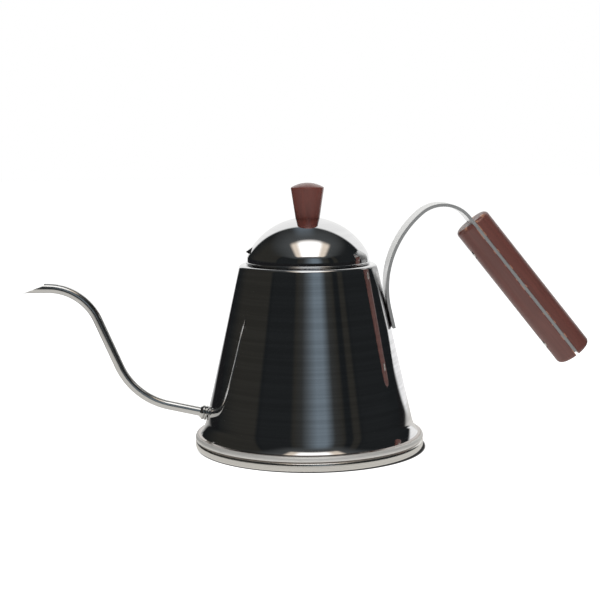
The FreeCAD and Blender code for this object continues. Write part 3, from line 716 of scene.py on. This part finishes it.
def make_screws(name, body, turned, count):
    """Cross-head screws of a CAD node's sizes; turned has its heads' way as Z and their row as X."""
    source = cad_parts[name]
    inward = turned.inverted() @ source.matrix_world
    spots = [inward @ vertex.co for vertex in source.data.vertices]
    foot, top = (find(spot.z for spot in spots) for find in (min, max))
    head_radius = max(abs(spot.y) for spot in spots)
    seat = min(spot.z for spot in spots if abs(spot.y) > RIM_SHARE * head_radius)
    shank_radius = max(abs(spot.y) for spot in spots if spot.z < foot + LEVEL)
    first = min(spot.x for spot in spots) + head_radius
    last = max(spot.x for spot in spots) - head_radius
    sizes = (head_radius, top - seat, shank_radius, seat - foot, last - first)
    tree = bpy.data.node_groups["Cross-head screws"]
    draft = bpy.data.objects.new(name + "_draft", bpy.data.meshes.new(name + "_draft"))
    bpy.context.scene.collection.objects.link(draft)
    draft.matrix_world = turned @ Matrix.Translation((first, 0, seat))
    modifier = draft.modifiers.new("Screws", "NODES")
    modifier.node_group = tree
    for socket in tree.interface.items_tree:
        if socket.in_out == "INPUT":
            value = count if socket.name == "Count" else sizes[SCREW_SIZES.index(socket.name)]
            modifier[socket.identifier] = value
    piece = finished(draft, name)
    piece.data.shade_smooth()
    piece.data.set_sharp_from_angle(angle=SCREW_FOLD)
    stand_in(piece, name, body)


def grip_turn():
    """Mapping rotation that lays X along the grip's axis."""
    return (0.0, GRIP_HEADING - math.pi / 2, 0.0)


def grip_frame():
    """The grip's own frame: X down its axis and Z out of its lower side."""
    down = Vector((math.sin(GRIP_HEADING), 0, math.cos(GRIP_HEADING)))
    out = Vector((math.cos(GRIP_HEADING), 0, -math.sin(GRIP_HEADING)))
    turn = Matrix((down, out.cross(down), out)).transposed().to_4x4()
    return Matrix.Translation(GRIP_TOP) @ turn


# Operators

class KETTLE_OT_finishes(bpy.types.Operator):
    """Make the shared node groups and the materials"""

    bl_idname = "kettle.finishes"
    bl_label = "Finishes"

    def execute(self, context):
        finish = context.scene.kettle_finish
        hairline_group()
        grain_group()
        wall = steel_material(
            "Polished wall", finish.steel, finish.polish, spread=0.02, lines=420.0, bump=0.03, streak=0.15)
        steel_material(
            "Bright sheet", finish.steel, finish.polish, spread=0.02, lines=420.0, bump=0.02, streak=0.06)
        steel_material(
            "Spout steel", finish.spout, roughness=0.13, spread=0.04, lines=420.0, bump=0.02, streak=0.06)
        satin = steel_material(
            "Satin base", finish.satin, roughness=0.20, spread=0.04, lines=1500.0, bump=0.08)
        strap = steel_material(
            "Strap bar", finish.strap, roughness=0.34, spread=0.02, lines=900.0, bump=0.04, streak=0.06,
            rotation=(math.pi / 2, 0, 0))
        for name, colour, roughness in (
                ("Plain screws", finish.satin, 0.22), ("Turned brass", finish.brass, 0.20)):
            steel_material(name, colour, roughness, spread=0.08, lines=2500.0, bump=0.10)
        satin_hem(wall, finish.bead)
        add_grime(wall, (CREASE, SEAM), finish.grime)
        add_grime(satin, (SEAM,), finish.grime)
        edge = max(vertex.co.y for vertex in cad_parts["handle_strap"].data.vertices)
        shear_edges(strap, edge, finish.sheared)
        wood_material(
            "Grip wood", finish.stain_light, finish.stain_dark, GRIP_TOP, grip_turn(), coat=0.2,
            bare=finish.bare_wood)
        wood_material(
            "Knob wood", finish.knob_light, finish.knob_dark, (0, 0, 0), (0, math.pi / 2, 0), coat=0.7)
        screw_tree(bpy.data.materials["Plain screws"])
        return {"FINISHED"}


class KETTLE_OT_vessel(bpy.types.Operator):
    """Finish the body shell and the bottom pan"""

    bl_idname = "kettle.vessel"
    bl_label = "Vessel"

    def execute(self, context):
        materials = bpy.data.materials
        dress("body_shell", "kettle", materials["Polished wall"], round_piece=True)
        dress("bottom_pan", "kettle", materials["Satin base"], round_piece=True)
        return {"FINISHED"}


class KETTLE_OT_spout(bpy.types.Operator):
    """Finish the gooseneck tube and its collar"""

    bl_idname = "kettle.spout"
    bl_label = "Spout"

    def execute(self, context):
        for name in ("spout_tube", "spout_collar"):
            dress(name, "kettle", bpy.data.materials["Spout steel"])
        return {"FINISHED"}


class KETTLE_OT_handle(bpy.types.Operator):
    """Finish the strap, the grip halves and their fasteners"""

    bl_idname = "kettle.handle"
    bl_label = "Handle"

    def execute(self, context):
        materials = bpy.data.materials
        dress("handle_strap", "kettle", materials["Strap bar"])
        for name in ("grip_upper_half", "grip_lower_half"):
            dress(name, "kettle", materials["Grip wood"])
        make_screws("grip_screws", "kettle", grip_frame(), 2)
        dress("grip_inserts", "kettle", materials["Turned brass"])
        return {"FINISHED"}


class KETTLE_OT_lid(bpy.types.Operator):
    """Finish the dome, its skirt, the knob and its fasteners"""

    bl_idname = "kettle.lid"
    bl_label = "Lid"

    def execute(self, context):
        materials = bpy.data.materials
        dress("lid_dome", "lid", materials["Bright sheet"], roll_lip, True)
        dress("lid_skirt", "lid", materials["Bright sheet"])
        dress("lid_knob", "lid", materials["Knob wood"])
        make_screws("knob_screw", "lid", Matrix.Rotation(math.pi, 4, "X"), 1)
        dress("knob_washer", "lid", materials["Plain screws"])
        dress("knob_insert", "lid", materials["Turned brass"])
        return {"FINISHED"}


class KETTLE_OT_stage(bpy.types.Operator):
    """Set up the floor, the studio light and the camera"""

    bl_idname = "kettle.stage"
    bl_label = "Stage"

    def execute(self, context):
        view = context.scene.studio_view
        context.scene.view_settings.view_transform = "Standard"
        self.make_floor(view)
        self.make_world(context.scene, view)
        self.make_softbox(view)
        self.make_camera(context.scene, view)
        return {"FINISHED"}

    def make_floor(self, view):
        half = view.floor / 2
        mesh = bpy.data.meshes.new("floor")
        corners = [(-half, -half, 0), (half, -half, 0), (half, half, 0), (-half, half, 0)]
        mesh.from_pydata(corners, [], [(0, 1, 2, 3)])
        floor = bpy.data.objects.new("floor", mesh)
        bpy.context.scene.collection.objects.link(floor)
        material, tree, shader = new_material("floor_white")
        shader.inputs["Roughness"].default_value = 0.9
        shader.inputs["Specular IOR Level"].default_value = 0.0
        shader.inputs["Emission Strength"].default_value = FLOOR_GLOW
        # The floor's paint and glow both fade to a painted contact shadow under the base.
        contact = self.painted_contact_shadow(tree)
        for socket, pale in (("Base Color", FLOOR_PAINT), ("Emission Color", 1.0)):
            shade = blend_colours(tree, contact, (pale, pale, pale), CONTACT_SHADOW)
            link(tree, shade, shader.inputs[socket])
        mirrored = node(tree, "ShaderNodeEmission")
        link(tree, self.mirrored_floor(tree), mirrored.inputs["Color"])
        chosen = node(tree, "ShaderNodeMixShader")
        path = node(tree, "ShaderNodeLightPath")
        link(tree, path.outputs["Is Glossy Ray"], chosen.inputs[0])
        link(tree, shader.outputs[0], chosen.inputs[1])
        link(tree, mirrored.outputs[0], chosen.inputs[2])
        link(tree, chosen.outputs[0], tree.nodes["Material Output"].inputs["Surface"])
        mesh.materials.append(material)

    def painted_contact_shadow(self, tree):
        """A painted contact shadow: a dark line on the floor under the base, on the side away from the
        spout.
        """
        axes = object_axes(tree)
        right, deep = (
            maths(tree, "SUBTRACT", axes[axis], middle) for axis, middle in zip("XY", CONTACT_MIDDLE))
        return smooth_range(tree, self.reach(tree, right, deep), *CONTACT_EDGE, 1.0, 0.0)

    def reach(self, tree, right, deep):
        """How far a place on the floor is from its middle."""
        across = maths(tree, "MULTIPLY", right, right)
        return maths(tree, "SQRT", maths(tree, "MULTIPLY_ADD", deep, deep, across))

    def mirrored_floor(self, tree):
        """The floor as the steel mirrors it: grey close by, white behind, dark far out and by the spout."""
        axes = object_axes(tree)
        right, back = axes["X"], axes["Y"]
        reach = self.reach(tree, right, back)
        colour = blend_colours(tree, smooth_range(tree, reach, *NEAR_REACH), FLOOR_NEAR, FLOOR_FAR)
        share = maths(tree, "DIVIDE", maths(tree, "MULTIPLY_ADD", right, BEHIND_TURN, back), reach)
        behind = smooth_range(tree, share, *BEHIND_SHARE)
        behind = maths(tree, "MULTIPLY", behind, smooth_range(tree, back, *BEHIND_DEPTH))
        colour = blend_colours(tree, behind, colour, FLOOR_BEHIND)
        left = maths(tree, "MULTIPLY", maths(tree, "MULTIPLY_ADD", back, SPOUT_SIDE_TURN, right), -1.0)
        shade = smooth_range(tree, left, *SPOUT_SIDE_REACH)
        shade = maths(tree, "MULTIPLY", shade, smooth_range(tree, back, *SPOUT_SIDE_DEPTH))
        return blend_colours(tree, shade, colour, FLOOR_FAR)

    def make_world(self, scene, view):
        world = bpy.data.worlds.new("studio")
        scene.world = world
        world.use_nodes = True
        tree = world.node_tree
        surround = tree.nodes["Background"]
        way = node(tree, "ShaderNodeSeparateXYZ")
        link(tree, node(tree, "ShaderNodeTexCoord").outputs["Generated"], way.inputs[0])
        across, deep, up = way.outputs
        sweep = maths(tree, "MULTIPLY_ADD", across, SWEEP_TURN, deep)
        sweep = maths(tree, "MULTIPLY_ADD", up, SWEEP_LEAN, sweep)
        white = smooth_range(tree, sweep, *SWEEP_EDGE)
        room = self.make_room(tree, across, deep, up)
        mirrored = blend_colours(tree, white, room, SWEEP)
        path = node(tree, "ShaderNodeLightPath")
        ambient = (view.ambient, view.ambient, view.ambient)
        seen = blend_colours(tree, path.outputs["Is Glossy Ray"], ambient, mirrored)
        plain = maths(tree, "MAXIMUM", path.outputs["Is Camera Ray"], path.outputs["Is Transmission Ray"])
        link(tree, blend_colours(tree, plain, seen, (1.0, 1.0, 1.0)), surround.inputs["Color"])

    def make_room(self, tree, across, deep, up):
        """The dim room in front: tall panels, a pale window, a ceiling and its lamps."""
        ahead = maths(tree, "MULTIPLY", deep, -1.0)
        bearing = maths(tree, "ARCTAN2", across, ahead)
        panels = node(tree, "ShaderNodeValToRGB")
        fill_ramp(panels.color_ramp, ROOM_PANELS)
        turn = smooth_range(tree, bearing, -math.pi, math.pi, easing="LINEAR")
        link(tree, turn, panels.inputs["Fac"])
        low = smooth_range(tree, up, *PANEL_FOOT)
        high = smooth_range(tree, up, *PANEL_HEAD, 1.0, 0.0)
        plain = blend_colours(tree, smooth_range(tree, up, *CEILING_FADE), BLACK, CEILING)
        room = blend_colours(tree, maths(tree, "MULTIPLY", low, high), plain, panels.outputs["Color"])
        rise = maths(tree, "MAXIMUM", up, LEAST_RISE)
        right = maths(tree, "DIVIDE", across, rise)
        near = maths(tree, "DIVIDE", ahead, rise)
        sheen = band(tree, right, *SHEEN_ACROSS)
        sheen = maths(tree, "MULTIPLY", sheen, smooth_range(tree, up, *SHEEN_FADE))
        room = blend_colours(tree, sheen, room, SHEEN)
        for tone, spot_across, spot_near in LAMPS:
            spot = maths(tree, "MULTIPLY", band(tree, right, *spot_across), band(tree, near, *spot_near))
            room = blend_colours(tree, spot, room, tone)
        return room

    def make_softbox(self, view):
        lamp = bpy.data.lights.new("softbox", "AREA")
        lamp.shape = "RECTANGLE"
        lamp.size, lamp.size_y = SOFTBOX_SIZE
        lamp.energy = view.softbox
        softbox = bpy.data.objects.new("softbox", lamp)
        softbox.visible_glossy = False
        turn = (SOFTBOX_AIM - SOFTBOX_PLACE).to_track_quat("-Z", "Y").to_matrix().to_4x4()
        softbox.matrix_world = Matrix.Translation(SOFTBOX_PLACE) @ turn
        bpy.context.scene.collection.objects.link(softbox)

    def make_camera(self, scene, view):
        camera = bpy.data.objects.new("camera", bpy.data.cameras.new("camera"))
        camera.data.sensor_width = 36.0
        camera.data.lens = view.lens
        camera.data.clip_end = 50.0
        ground = Vector((math.sin(view.azimuth), -math.cos(view.azimuth), 0)) * view.distance
        turn = Matrix.Rotation(view.azimuth + view.yaw, 4, "Z")
        tilt = Matrix.Rotation(math.pi / 2 - view.pitch, 4, "X")
        roll = Matrix.Rotation(view.roll, 4, "Z")
        place = Matrix.Translation(ground + Vector((0, 0, view.height)))
        camera.matrix_world = place @ turn @ tilt @ roll
        scene.collection.objects.link(camera)
        scene.camera = camera


class KETTLE_PT_panel(bpy.types.Panel):
    """The kettle's sizes and steps"""

    bl_idname = "KETTLE_PT_panel"
    bl_label = "Gooseneck Kettle"
    bl_space_type = "VIEW_3D"
    bl_region_type = "UI"
    bl_category = "Kettle"

    def draw(self, context):
        for group in (context.scene.kettle_finish, context.scene.studio_view):
            for name in group.bl_rna.properties.keys():
                if name not in ("rna_type", "name"):
                    self.layout.prop(group, name)
        for step in STEPS:
            self.layout.operator(step.bl_idname)


STEPS = (
    KETTLE_OT_finishes,
    KETTLE_OT_vessel,
    KETTLE_OT_spout,
    KETTLE_OT_handle,
    KETTLE_OT_lid,
    KETTLE_OT_stage,
)
CLASSES = (KettleFinish, StudioView, *STEPS, KETTLE_PT_panel)


def register():
    for item in CLASSES:
        bpy.utils.register_class(item)
    bpy.types.Scene.kettle_finish = bpy.props.PointerProperty(type=KettleFinish)
    bpy.types.Scene.studio_view = bpy.props.PointerProperty(type=StudioView)


def unregister():
    del bpy.types.Scene.studio_view
    del bpy.types.Scene.kettle_finish
    for item in reversed(CLASSES):
        bpy.utils.unregister_class(item)


def main():
    register()
    bpy.ops.kettle.finishes()
    bpy.ops.kettle.vessel()
    bpy.ops.kettle.spout()
    bpy.ops.kettle.handle()
    bpy.ops.kettle.lid()
    bpy.ops.kettle.stage()


if __name__ == "__main__":
    main()
